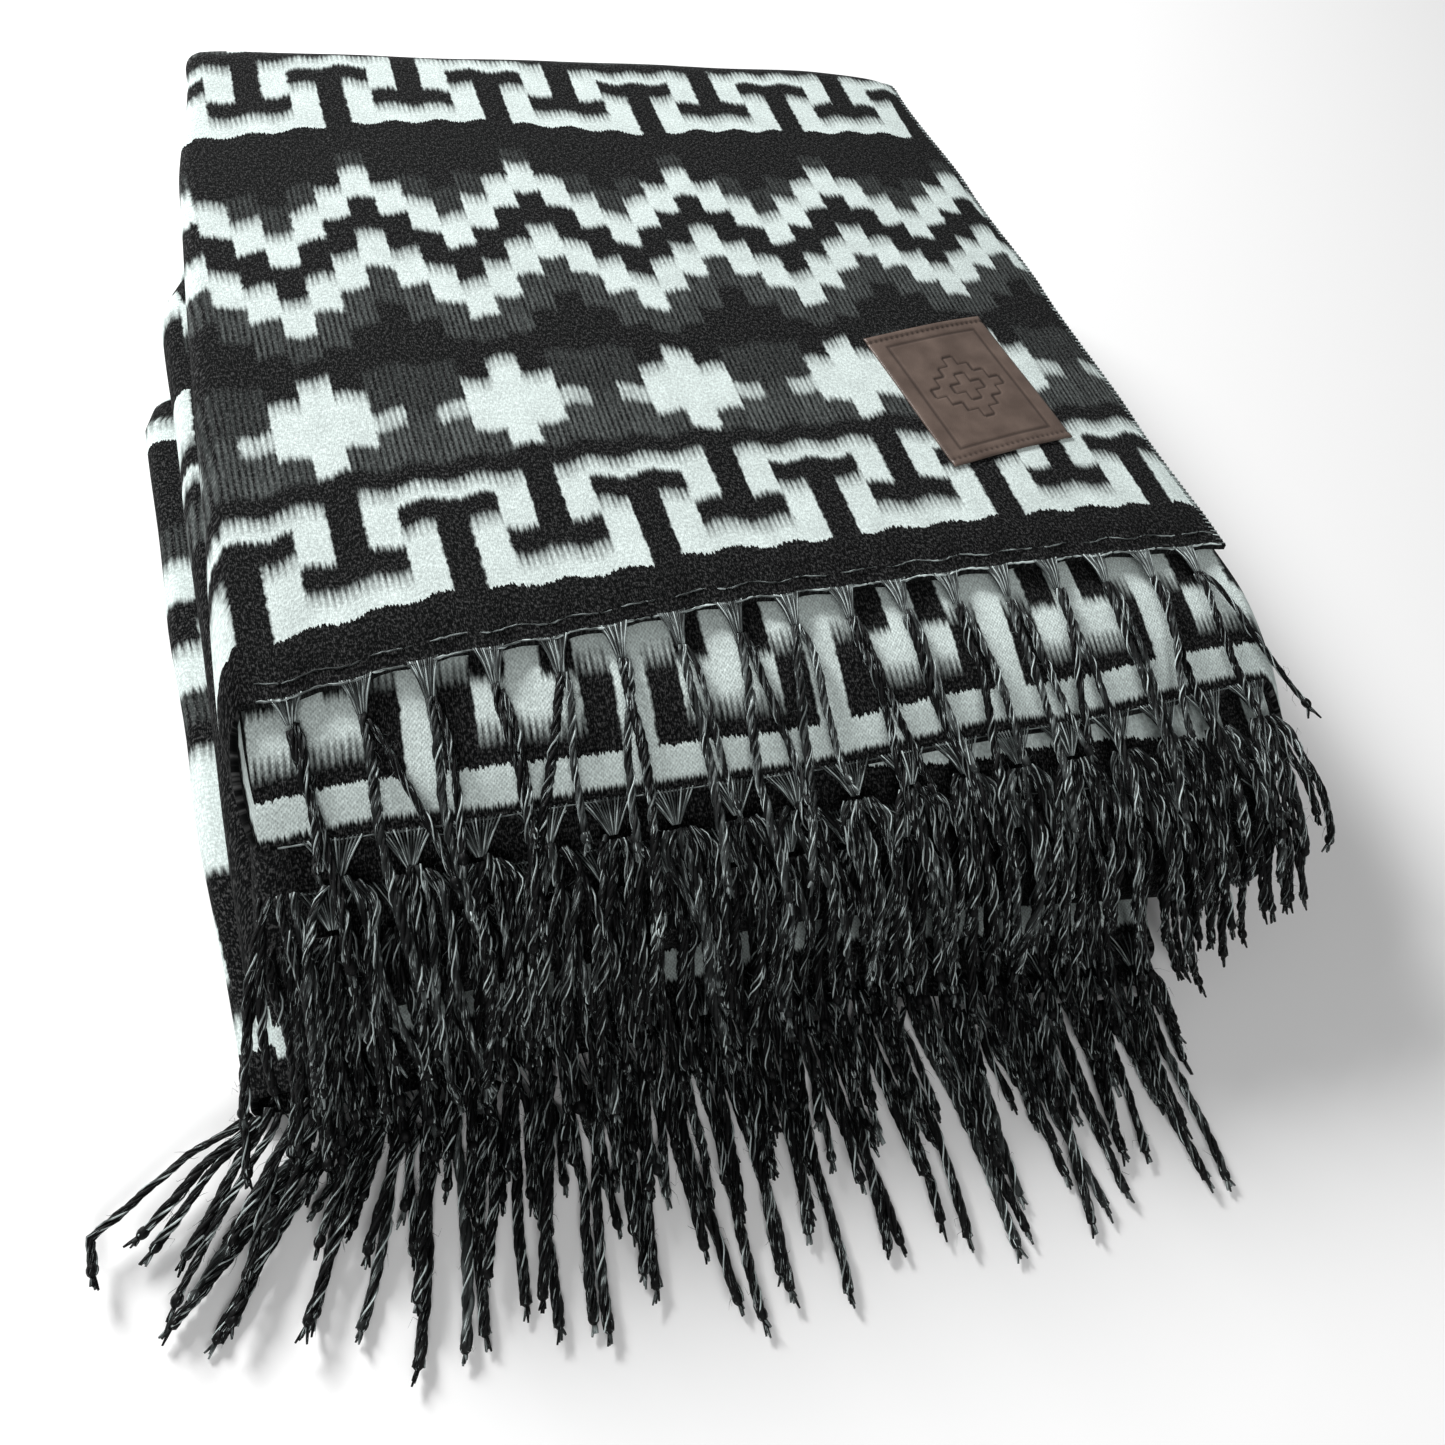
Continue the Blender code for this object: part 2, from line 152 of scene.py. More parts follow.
def settle(x, y, z):
    """The pressed front and the soft unevenness of the stack, about the outline's middle."""
    press = 1 - 0.26 * smooth((-0.25 - y) / 0.15)
    swell = 0.012 * np.sin(9.0 * x + 1.0) * np.sin(7.5 * y + 0.6)
    z = z * press * (1 + swell - 0.05 * smooth((x - 0.17) / 0.13))
    y = y - spread(x, y, z) - back_slant * x * smooth((y + 0.05) / 0.30)
    # The two back corners are rounded, as a thick fold leaves them.
    beyond = np.clip((y - (back_edge_y - back_slant * x - corner_round)) / corner_round, 0, 1)
    for side, edge in ((-1, back_left_x), (1, back_right_x)):
        aside = np.clip((side * (x - edge) + corner_round) / corner_round, 0, 1)
        x = x - side * corner_round * aside * (1 - np.sqrt(1 - beyond ** 2 / 2))
        y = y - corner_round * beyond * (1 - np.sqrt(1 - aside ** 2 / 2))
    return np.stack([x - outline_middle_x, y - outline_middle_y, z], -1)


def cloth_section(steps, fold_steps):
    """Stations across the cloth, from the right selvedge to the third layer's selvedge."""
    radius, half = layer_pitch / 2, folded_width / 2
    left, right = -half + radius, half - radius
    spans = (
        (half - selvedge_inset, left, layer_pitch, 1, 1),
        (left, right, 0.0, -1, 2),
        (right, -half + inner_selvedge_inset, -layer_pitch, 1, 3),
    )
    rows = []
    for (start, end, level, face, layer), count in zip(spans, steps):
        shares = np.linspace(0, 1, count + 1)
        if layer == 1:
            shares = np.concatenate([[0, 0.004, 0.010, 0.018], shares[2:]])
        if layer == 3:
            shares = np.concatenate([shares[:-2], [0.982, 0.990, 0.996, 1]])
        rows += [(start + share * (end - start), level, 0, face, layer, 0) for share in shares]
        turns = np.arange(1, fold_steps) * math.pi / fold_steps
        for turn in turns if layer < 3 else ():
            across, up = math.cos(math.pi / 2 + turn), math.sin(math.pi / 2 + turn)
            if layer == 1:
                place = (left + radius * across, radius + radius * up)
                rows.append((*place, across, up, 1, turn / math.pi))
            else:
                place = (right - radius * across, -radius + radius * up)
                rows.append((*place, across, -up, 2, turn / math.pi))
    return np.array(rows).T


def end_line(table, section):
    """Where the cloth ends at each station, passing from layer to layer round a fold."""
    across, layer, fold = section[0], section[4].astype(int), section[5]
    ends = np.array([between(table, across, column) for column in (1, 2, 3)])
    here = ends[layer - 1, np.arange(len(across))]
    beyond = ends[np.minimum(layer, 2), np.arange(len(across))]
    return here + smooth(fold) * (beyond - here)


def pass_places(number, shares, start_y, end_y):
    """Rows of places along one pass: y, height, the way the strip faces, left and right."""
    height = (passes + 0.5 - number) * strip_pitch - floor_offset
    up = 1 if number % 2 else -1
    for share in shares:
        y = start_y + share * (end_y - start_y)
        edges = [between(pass_edges[number], y, column) for column in (1, 2)]
        yield [y, height + 0 * y, 0 * y, up + 0 * y, *edges]


def turn_places(number, y, outward, fold_steps):
    """Rows of places round the fold after a pass."""
    height = (passes - number) * strip_pitch - floor_offset
    for step in range(1, fold_steps):
        angle = math.pi / 2 - step * math.pi / fold_steps
        along, up = outward * math.cos(angle), math.sin(angle)
        edges = []
        for column in (1, 2):
            before = between(pass_edges[number], y, column)
            after = between(pass_edges[number + 1], y, column)
            edges.append(before + step / fold_steps * (after - before))
        radius = strip_pitch / 2
        yield [y + radius * along, height + radius * up + 0 * y,
               outward * along + 0 * y, outward * up + 0 * y, *edges]


def cloth_path(section, shares, fold_steps, top_scallop=0.0):
    """All rows of places along the cloth, each an array over the section's stations."""
    across = section[0]
    top_end = end_line(top_end_y, section) + top_scallop
    floor_end = end_line(floor_end_y, section)
    level = 0 * across
    rows = list(pass_places(1, shares[0], top_end, upper_back_y + level))
    rows += turn_places(1, upper_back_y + level, 1, fold_steps)
    rows += pass_places(2, shares[1], upper_back_y + level, front_turn_y + level)
    rows += turn_places(2, front_turn_y + level, -1, fold_steps)
    rows += pass_places(3, shares[2], front_turn_y + level, lower_back_y + level)
    rows += turn_places(3, lower_back_y + level, 1, fold_steps)
    rows += pass_places(4, shares[3], lower_back_y + level, floor_end)
    return np.array(rows)


def cloth_skin(section, path, offset):
    """Points at one distance from the cloth's middle, on its face if positive."""
    across = section[0] + section[2] * offset
    level = section[1] + section[3] * offset
    y, height, along, up, left, right = (path[:, column] for column in range(6))
    share = (across + folded_width / 2) / folded_width
    x = left + share * (right - left)
    return settle(x, y + level * along, height + level * up)


strands, root_width, first_root_x, root_pitch = 17, 0.014, -0.257, 0.0309
near_end = np.array([0, 0.004, 0.009, 0.016, 0.025, 0.036, 0.050])
pass_shares = (
    np.concatenate([near_end, np.linspace(0.062, 1, 68)]),
    np.linspace(0, 1, 30),
    np.linspace(0, 1, 32),
    1 - np.concatenate([near_end, np.linspace(0.07, 1, 34)])[::-1],
)
fold_steps = 12
section = cloth_section((80, 80, 34), fold_steps)
columns = len(section[0])
root_phase = (section[0] - first_root_x - root_width / 2) / root_pitch
scallop = 0.0022 * (1 - np.cos(2 * math.pi * root_phase)) * (section[5] == 0) * (section[4] == 1)
path = cloth_path(section, pass_shares, fold_steps, scallop)
rows = len(path)
middle = cloth_skin(section, path, 0 * section[0])

# Distances over the cloth: across from a line 0.30 m to the right, and along from each end.
in_fold = (section[5][1:] > 0) | (section[5][:-1] > 0)
arc_step = layer_pitch / 2 * math.pi / fold_steps
across_step = np.where(in_fold, arc_step, np.abs(np.diff(middle[:, :, 0], axis=1)))
start_across = 0.300 - (middle[:, :1, 0] + outline_middle_x)
cloth_u = np.concatenate([start_across, start_across + np.cumsum(across_step, axis=1)], axis=1)
along_step = np.linalg.norm(np.diff(middle, axis=0), axis=2)
full_from_top = np.concatenate([np.zeros((1, columns)), np.cumsum(along_step, axis=0)])
# The inner layers end further out, and their bands meet the top layer's again further back.
further_out = between(top_end_y, section[0], 1) - end_line(top_end_y, section)
from_top = full_from_top - further_out * smooth(full_from_top / 0.36)
from_floor = from_top[-1:] - from_top
crowding = 1.03 - 0.07 * smooth((middle[:, :, 0] + 0.13) / 0.2)
cloth_v = np.minimum(from_top, from_floor)
cloth_v = 0.034 + (cloth_v - 0.034) / np.where(cloth_v > 0.034, crowding, 1.0)
inner_share = np.where(section[4] == 1, section[5], 1.0)
cloth_v += 0.011 * inner_share * (1 - smooth(cloth_v / 0.30))

# The cloth is full in its middle and thin at its cut ends and selvedges.
edge_across = np.minimum(cloth_u - cloth_u[:, :1], cloth_u[:, -1:] - cloth_u)
edge_along = np.minimum(full_from_top, full_from_top[-1:] - full_from_top)
thinness = 0.36 + 0.64 * smooth(edge_along / 0.024) * (0.35 + 0.65 * smooth(edge_across / 0.014))
x_all, y_all = middle[:, :, 0], middle[:, :, 1]
puff = 0.05 * np.sin(31 * x_all + 17 * y_all) + 0.05 * np.sin(57 * x_all - 43 * y_all + 1.3)
half_thickness = cloth_thickness / 2 * thinness * (1 + puff)
skins = np.array([cloth_skin(section, path, side * half_thickness) for side in (1, -1)])
ripple = 0.0016 * np.cos(2 * math.pi * root_phase) * np.exp(-full_from_top / 0.03)
skins[:, :, :, 2] += ripple * (section[4] == 1) * (section[5] == 0)


def grid_index(side, row, column):
    return (side * rows + row) * columns + column


cloth_faces = []
for row in range(rows - 1):
    for column in range(columns - 1):
        corners = ((row, column), (row + 1, column), (row + 1, column + 1), (row, column + 1))
        cloth_faces.append([grid_index(0, *corner) for corner in corners])
        cloth_faces.append([grid_index(1, *corner) for corner in reversed(corners)])
for row in (0, rows - 1):
    for column in range(columns - 1):
        pair = [(row, column), (row, column + 1)]
        pair = pair if row == 0 else pair[::-1]
        cloth_faces.append([grid_index(0, *corner) for corner in pair]
                           + [grid_index(1, *corner) for corner in pair[::-1]])
for column in (0, columns - 1):
    for row in range(rows - 1):
        pair = [(row + 1, column), (row, column)]
        pair = pair if column == 0 else pair[::-1]
        cloth_faces.append([grid_index(0, *corner) for corner in pair]
                           + [grid_index(1, *corner) for corner in pair[::-1]])
cloth_mesh = bpy.data.meshes.new("blanket_cloth")
cloth_mesh.from_pydata(skins.reshape(-1, 3), [], cloth_faces)
cloth_mesh.update()
cloth = bpy.data.objects.new("blanket_cloth", cloth_mesh)
bpy.context.scene.collection.objects.link(cloth)
cloth_mesh.shade_smooth()


def lay_flat_map(mesh, places, name="flat_cloth"):
    """Gives each corner its place on the flat cloth, in metres."""
    layer = mesh.uv_layers.new(name=name)
    corner_points = np.zeros(len(mesh.loops), np.int32)
    mesh.loops.foreach_get("vertex_index", corner_points)
    layer.data.foreach_set("uv", places[corner_points].astype(np.float32).ravel())


skew = 0.0416 * np.minimum(cloth_v, 0.45)
flat_places = np.stack([cloth_u - skew, cloth_v], -1).reshape(-1, 2)
lay_flat_map(cloth_mesh, np.concatenate([flat_places, flat_places]))
face_side = cloth_mesh.attributes.new("face_side", "FLOAT", "POINT")
face_values = np.concatenate([np.ones(rows * columns), np.zeros(rows * columns)])
face_side.data.foreach_set("value", face_values.astype(np.float32))


def node_math(tree, operation, *values, clamp=False):
    """A Math node fed with sockets or numbers."""
    node = tree.nodes.new("ShaderNodeMath")
    node.operation = operation
    node.use_clamp = clamp
    for socket, value in zip(node.inputs, values):
        if isinstance(value, (int, float)):
            socket.default_value = value
        else:
            tree.links.new(value, socket)
    return node.outputs[0]


def eased(tree, value, low, high):
    """Eases a socket from 0 at low to 1 at high."""
    node = tree.nodes.new("ShaderNodeMapRange")
    node.interpolation_type = "SMOOTHSTEP"
    tree.links.new(value, node.inputs["Value"])
    node.inputs["From Min"].default_value = low
    node.inputs["From Max"].default_value = high
    return node.outputs["Result"]


def flat_material(name):
    """A new material, with its node tree and shader, and its place on the flat cloth."""
    material = bpy.data.materials.new(name)
    material.use_nodes = True
    tree = material.node_tree
    place = tree.nodes.new("ShaderNodeUVMap")
    place.uv_map = "flat_cloth"
    split = tree.nodes.new("ShaderNodeSeparateXYZ")
    tree.links.new(place.outputs[0], split.inputs[0])
    return material, tree, tree.nodes["Principled BSDF"], split.outputs[0], split.outputs[1]


def raise_relief(tree, shader, height, strength, distance):
    """Feeds a height to the shader as bump."""
    bump = tree.nodes.new("ShaderNodeBump")
    bump.inputs["Strength"].default_value = strength
    bump.inputs["Distance"].default_value = distance
    tree.links.new(height, bump.inputs["Height"])
    tree.links.new(bump.outputs["Normal"], shader.inputs["Normal"])


def grain(tree, across, along, scale_across, scale_along, detail=2.0):
    """Noise over the flat cloth, finer one way than the other."""
    place = tree.nodes.new("ShaderNodeCombineXYZ")
    tree.links.new(node_math(tree, "MULTIPLY", across, scale_across), place.inputs[0])
    tree.links.new(node_math(tree, "MULTIPLY", along, scale_along), place.inputs[1])
    noise = tree.nodes.new("ShaderNodeTexNoise")
    noise.noise_dimensions = "2D"
    noise.inputs["Scale"].default_value = 1.0
    noise.inputs["Detail"].default_value = detail
    tree.links.new(place.outputs[0], noise.inputs["Vector"])
    return noise.outputs["Fac"]


# The woven bands: each column of the repeat is a strip of warp, with the lengths over which
# its off-white yarn lies on the face, in metres from the meander's foot, and how pale it is.
band_length = 0.389
border = 0.034
repeat_start = 0.0846
shoulder = [
    (0.000, 0.019, 1.0), (0.037, 0.075, 1.0), (0.090, 0.108, 0.055), (0.108, 0.149, 1.0),
    (0.186, 0.216, 0.055), (0.216, 0.247, 1.0), (0.279, 0.310, 1.0), (0.310, 0.332, 0.03),
]
column_bands = [
    [(0.000, 0.019, 1.0), (0.093, 0.164, 1.0), (0.180, 0.200, 0.045), (0.200, 0.231, 1.0),
     (0.262, 0.293, 1.0), (0.293, 0.318, 0.03)],
    shoulder,
    shoulder,
    [(0.000, 0.046, 1.0), (0.063, 0.075, 1.0), (0.090, 0.118, 0.07), (0.118, 0.131, 0.70),
     (0.131, 0.165, 0.028), (0.202, 0.232, 0.055), (0.232, 0.263, 1.0), (0.296, 0.327, 1.0)],
    [(0.000, 0.046, 1.0), (0.063, 0.075, 1.0), (0.090, 0.118, 0.07), (0.118, 0.131, 0.62),
     (0.131, 0.165, 0.028), (0.202, 0.232, 0.055), (0.232, 0.263, 1.0), (0.296, 0.327, 1.0)],
    [(0.063, 0.075, 1.0), (0.090, 0.128, 0.055), (0.128, 0.165, 0.028), (0.218, 0.248, 0.045),
     (0.248, 0.279, 1.0), (0.312, 0.343, 1.0), (0.343, 0.358, 0.03)],
]
soft_edge, smudge, column_blur = 0.0026, 0.0085, 0.10
rim_paleness = 0.55
half_columns = 2 * len(column_bands)
# Painted shade: the span along the cloth past which the front fold is painted plain charcoal.
painted_shade_span = (0.926, 0.932)
dark_end = (0.0165, 0.0200)
comb_pitch = 0.0033


def band_ramp(tree, along, bands):
    """How pale one column is along the repeat, smudged where off-white meets charcoal."""
    ramp = tree.nodes.new("ShaderNodeValToRGB")
    tree.links.new(along, ramp.inputs[0])
    stops = [] if bands[0][0] == 0 else [(0.0, 0.0)]
    last_end = None
    for start, end, value in bands:
        smudged = value == 1.0 and end - start > soft_edge + smudge
        if last_end is not None and start > last_end:
            stops.append((last_end + soft_edge, 0.0))
        if start == 0:
            stops.append((0.0, value))
        else:
            if start != last_end:
                stops.append((start - soft_edge, 0.0))
            stops.append((start + soft_edge, value))
        if smudged:
            stops.append((end - soft_edge - smudge, value))
        stops.append((end - soft_edge, rim_paleness if smudged else value))
        last_end = end
    stops.append((last_end + soft_edge, 0.0))
    elements = ramp.color_ramp.elements
    while len(elements) > 1:
        elements.remove(elements[-1])
    elements[0].position = stops[0][0] / band_length
    elements[0].color = (stops[0][1],) * 3 + (1,)
    for place, value in stops[1:]:
        element = elements.new(place / band_length)
        element.color = (value, value, value, 1)
    return ramp.outputs["Color"]


def band_group():
    """A node group from a place on the flat cloth and its side to how pale the yarn is there, with
    painted shade over the front fold.
    """
    group = bpy.data.node_groups.new("woven_bands_and_painted_shade", "ShaderNodeTree")
    for name in ("Across", "Along", "Face"):
        group.interface.new_socket(name, in_out="INPUT", socket_type="NodeSocketFloat")
    group.interface.new_socket("Pale", in_out="OUTPUT", socket_type="NodeSocketFloat")
    inlet = group.nodes.new("NodeGroupInput")
    outlet = group.nodes.new("NodeGroupOutput")
    across, along, face = inlet.outputs[:3]
    # Threads jut past the edge of a block, and whole rows wander a few millimetres.
    jut = node_math(group, "SUBTRACT", grain(group, across, along, 950, 45, 2.0), 0.5)
    wander = node_math(group, "SUBTRACT", grain(group, across, along, 9, 7, 1.0), 0.5)
    drift = node_math(group, "SUBTRACT", grain(group, across, along, 110, 210, 2.0), 0.5)
    v = node_math(group, "ADD", along, node_math(group, "MULTIPLY", jut, 0.0060))
    v = node_math(group, "ADD", v, node_math(group, "MULTIPLY", wander, 0.010))
    u = node_math(group, "ADD", across, node_math(group, "MULTIPLY", drift, 0.0026))
    u = node_math(group, "SUBTRACT", u, repeat_start)
    folded = node_math(group, "PINGPONG", u, band_repeat / 2)
    column = node_math(group, "MULTIPLY", folded, half_columns / band_repeat)
    place = node_math(group, "SUBTRACT", v, border)
    place = node_math(group, "DIVIDE", place, band_length)
    place = node_math(group, "FRACT", place)
    pale = None
    for edge, bands in enumerate(column_bands):
        ramp = band_ramp(group, place, bands)
        if pale is None:
            pale = ramp
            continue
        mix = group.nodes.new("ShaderNodeMix")
        mix.data_type = "FLOAT"
        crossing = eased(group, column, edge - column_blur, edge + column_blur)
        group.links.new(crossing, mix.inputs[0])
        group.links.new(pale, mix.inputs[2])
        group.links.new(ramp, mix.inputs[3])
        pale = mix.outputs[0]
    inside = eased(group, v, border - 0.0035, border + 0.0005)
    pale = node_math(group, "MULTIPLY", pale, inside)
    # Painted shade: the middle of the blanket, which lies in the front fold in shade behind the
    # hanging fringe, is painted plain charcoal on both faces.
    outside_painted_shade = node_math(group, "SUBTRACT", 1.0, eased(group, v, *painted_shade_span))
    pale = node_math(group, "MULTIPLY", pale, outside_painted_shade)
    # The reverse shows the bands with their colours changed over, but for a dark end strip.
    turned = node_math(group, "SUBTRACT", 1.0, pale)
    turned = node_math(group, "MULTIPLY", turned, eased(group, v, *dark_end))
    turned = node_math(group, "MULTIPLY", turned, outside_painted_shade)
    side = group.nodes.new("ShaderNodeMix")
    side.data_type = "FLOAT"
    group.links.new(face, side.inputs[0])
    group.links.new(turned, side.inputs[2])
    group.links.new(pale, side.inputs[3])
    # Half-tones break up into single warp threads, like the teeth of a comb.
    value = side.outputs[0]
    half = node_math(group, "MULTIPLY", value, node_math(group, "SUBTRACT", 1.0, value))
    comb = node_math(group, "SINE", node_math(group, "MULTIPLY", across, 2 * math.pi / comb_pitch))
    ends = node_math(group, "SUBTRACT", grain(group, across, along, 520, 60, 2.0), 0.5)
    fine = node_math(group, "SUBTRACT", grain(group, across, along, 1500, 300, 3.0), 0.5)
    comb = node_math(group, "ADD", comb, node_math(group, "MULTIPLY", ends, 3.0))
    comb = node_math(group, "ADD", comb, node_math(group, "MULTIPLY", fine, 2.2))
    broken = node_math(group, "MULTIPLY", half, node_math(group, "MULTIPLY", comb, 0.9))
    result = node_math(group, "ADD", value, broken, clamp=True)
    group.links.new(result, outlet.inputs["Pale"])
    return group


woven_bands_and_painted_shade = band_group()
charcoal = (0.0030, 0.0034, 0.0036, 1)
off_white = (0.76, 0.86, 0.835, 1)
thread_pitch = 0.0021


def cloth_material():
    """Brushed alpaca: the bands, a lie of fine hairs over them, and the weave beneath."""
    material, tree, shader, across, along = flat_material("brushed_alpaca")
    side = tree.nodes.new("ShaderNodeAttribute")
    side.attribute_name = "face_side"
    bands = tree.nodes.new("ShaderNodeGroup")
    bands.node_tree = woven_bands_and_painted_shade
    tree.links.new(across, bands.inputs["Across"])
    tree.links.new(along, bands.inputs["Along"])
    tree.links.new(side.outputs["Fac"], bands.inputs["Face"])
    pale = bands.outputs["Pale"]
    colour = tree.nodes.new("ShaderNodeMix")
    colour.data_type = "RGBA"
    tree.links.new(pale, colour.inputs[0])
    colour.inputs[6].default_value = charcoal
    colour.inputs[7].default_value = off_white
    # Hairs: short strokes that lie mostly along the warp, pale on dark and dark on pale.
    hair = grain(tree, across, along, 1900, 420, 3.0)
    tangle = grain(tree, across, along, 520, 700, 4.0)
    nap = node_math(tree, "MULTIPLY", tangle, 0.45)
    nap = node_math(tree, "ADD", node_math(tree, "MULTIPLY", hair, 0.55), nap)
    cloud = grain(tree, across, along, 60, 60, 3.0)
    nap_strength = eased(tree, nap, 0.36, 0.66)
    warp, weft = (
        node_math(tree, "SINE", node_math(tree, "MULTIPLY", way, 2 * math.pi / thread_pitch))
        for way in (across, along)
    )
    weave = node_math(tree, "MULTIPLY", warp, weft)
    reverse = node_math(tree, "SUBTRACT", 1.0, side.outputs["Fac"])
    reverse_weave = node_math(tree, "MULTIPLY", weave, reverse)
    darker = node_math(tree, "ADD", 0.68, node_math(tree, "MULTIPLY", nap_strength, 0.32))
    darker = node_math(tree, "ADD", darker, node_math(tree, "MULTIPLY", reverse_weave, 0.16))
    shade = node_math(tree, "ADD", 0.86, node_math(tree, "MULTIPLY", cloud, 0.28))
    darker = node_math(tree, "MULTIPLY", darker, shade)
    scaled = tree.nodes.new("ShaderNodeVectorMath")
    scaled.operation = "SCALE"
    tree.links.new(colour.outputs[2], scaled.inputs[0])
    tree.links.new(darker, scaled.inputs["Scale"])
    lifted = tree.nodes.new("ShaderNodeVectorMath")
    lifted.operation = "ADD"
    tree.links.new(scaled.outputs[0], lifted.inputs[0])
    stray = node_math(tree, "MULTIPLY", eased(tree, nap, 0.47, 0.68), 0.060)
    tree.links.new(stray, lifted.inputs[1])
    tree.links.new(lifted.outputs[0], shader.inputs["Base Color"])
    shader.inputs["Roughness"].default_value = 0.95
    shader.inputs["Specular IOR Level"].default_value = 0.05
    shader.inputs["Sheen Weight"].default_value = 0.01
    shader.inputs["Sheen Roughness"].default_value = 0.6
    shader.inputs["Sheen Tint"].default_value = (0.85, 0.9, 0.9, 1)
    relief = node_math(tree, "ADD", nap, node_math(tree, "MULTIPLY", reverse_weave, 0.12))
    relief = node_math(tree, "ADD", relief, node_math(tree, "MULTIPLY", cloud, 0.5))
    raise_relief(tree, shader, relief, 0.40, 0.0012)
    return material


brushed_alpaca = cloth_material()
cloth_mesh.materials.append(brushed_alpaca)
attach(cloth, "root")
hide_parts("blanket")

# The fringe: the warp ends of each layer are drawn together in fans and twisted into strands
# of four threads, up to 15 cm long, with two pale threads among them and a knot at the end.
strip_depth = 0.004
fringe_rows = {
    "fringe_top": {"layer": 1, "on_top": True, "shift": 0.0, "route": [
        (-0.262, 0.1306), (-0.290, 0.1272), (-0.322, 0.1190), (-0.354, 0.1145),
        (-0.382, 0.1090), (-0.412, 0.0940)]},
    "fringe_top_second": {"layer": 2, "on_top": True, "shift": 0.35, "route": [
        (-0.351, 0.1035), (-0.375, 0.0980), (-0.398, 0.0845), (-0.413, 0.0635),
        (-0.428, 0.0470), (-0.462, 0.0350)]},
    "fringe_top_third": {"layer": 3, "on_top": True, "shift": 0.15, "route": [
        (-0.366, 0.0870), (-0.387, 0.0740), (-0.399, 0.0550), (-0.413, 0.0370),
        (-0.434, 0.0255), (-0.478, 0.0215)]},
    "fringe_floor_third": {"layer": 3, "on_top": False, "shift": 0.25, "route": [
        (-0.418, 0.0195), (-0.446, 0.0145), (-0.480, 0.0125), (-0.512, 0.0120),
        (-0.540, 0.0120)]},
    "fringe_floor_second": {"layer": 2, "on_top": False, "shift": 0.5, "route": [
        (-0.432, 0.0066), (-0.449, 0.0038), (-0.488, 0.0035), (-0.528, 0.0035),
        (-0.568, 0.0035)]},
    "fringe_floor": {"layer": 1, "on_top": False, "shift": 0.0, "route": [
        (-0.432, 0.0038), (-0.455, 0.0035), (-0.490, 0.0035), (-0.525, 0.0035),
        (-0.568, 0.0035)]},
}


def strand_lean(name, x, share):
    """How far a strand swings aside, and how far it is drawn in, on its way to the tip."""
    right = smooth((x + 0.05) / 0.28)
    if name == "fringe_top":
        return share * 0.010 * math.sin(21.0 * x + 0.4), 0.0
    if name == "fringe_top_second":
        return share * 0.008 * math.sin(25.0 * x + 2.2), share ** 3 * 0.034 * right
    if name == "fringe_top_third":
        return share * 0.008 * math.sin(18.0 * x + 4.0), share ** 4 * 0.026 * right
    corner = math.exp(-(x + 0.30) / 0.050)
    if name == "fringe_floor_third":
        fan = -0.070 * math.exp(-(x + 0.30) / 0.09)
        drawn_in = 0.040 * right + 0.060 * corner
        return share * (fan + 0.008 * math.sin(19.0 * x + 1.5)), share * drawn_in
    fan = -0.085 * math.exp(-(x + 0.30) / 0.09)
    drawn_in = 0.046 * right + 0.110 * corner
    return share * (fan + 0.006 * math.sin(24.0 * x)), share * drawn_in


def edge_points(layer, on_top, beyond):
    """The middle of one layer's cut end, and a line a little beyond it."""
    coarse = cloth_section((40, 40, 40), 4)
    line = cloth_path(coarse, ([0.0], [0.0], [0.0], [1.0]), 4)[0 if on_top else -1]
    keep = (coarse[4] == layer) & (coarse[5] == 0)
    moved = line.copy()
    moved[0] -= beyond
    across = coarse[0][keep]
    spots = cloth_skin(coarse, moved[None], 0 * coarse[0])[0][keep]
    order = np.argsort(across)
    return across[order], spots[order]


def strand_line(name, row, number):
    """The centreline of a strand from its root, closely spaced."""
    across, spots = edge_points(row["layer"], row["on_top"], strip_depth)
    start_x = first_root_x + (number + row["shift"]) * root_pitch + root_width / 2
    root = Vector([np.interp(start_x, across, spots[:, axis]) for axis in range(3)])
    root_x = root.x + outline_middle_x
    route = row["route"]
    reach = route[-1][0] - route[0][0]
    shorter = 1 - 0.5 * (0.5 + 0.5 * math.sin(95.0 * root_x))
    tip = Vector(route[-2]).lerp(Vector(route[-1]), shorter)
    knots = [root]
    for y, height in (*route[:-1], tip):
        share = (y - route[0][0]) / reach
        aside, drawn_in = strand_lean(name, root_x, share)
        x = root_x + aside
        out = float(spread(x, y, height)) - drawn_in
        knots.append(Vector((x - outline_middle_x, y - out - outline_middle_y, height)))
    return root, knots


def even_curve(knots, spacing):
    """Points spaced evenly along a smooth curve through the knots."""
    knots = np.array([tuple(knot) for knot in knots])
    padded = np.concatenate([[2 * knots[0] - knots[1]], knots, [2 * knots[-1] - knots[-2]]])
    dense = []
    for a, b, c, d in zip(padded, padded[1:], padded[2:], padded[3:]):
        for t in np.linspace(0, 1, 24, endpoint=False):
            dense.append(0.5 * ((2 * b) + (c - a) * t + (2 * a - 5 * b + 4 * c - d) * t * t
                                + (3 * b - a - 3 * c + d) * t ** 3))
    dense = np.array([*dense, knots[-1]])
    length = line_run(dense)
    count = max(4, int(length[-1] / spacing))
    at = np.linspace(0, length[-1], count)
    return np.stack([np.interp(at, length, dense[:, axis]) for axis in range(3)], -1), at


def line_run(line):
    """The distance along a line at each of its points."""
    return np.concatenate([[0], np.cumsum(np.linalg.norm(np.diff(line, axis=0), axis=1))])


def line_frames(line):
    """Two directions square to a line at each of its points."""
    ahead = np.gradient(line, axis=0)
    ahead /= np.linalg.norm(ahead, axis=1)[:, None]
    right = np.array([1.0, 0, 0]) - ahead * ahead[:, :1]
    right /= np.linalg.norm(right, axis=1)[:, None]
    return np.stack([right, np.cross(ahead, right)], 1)


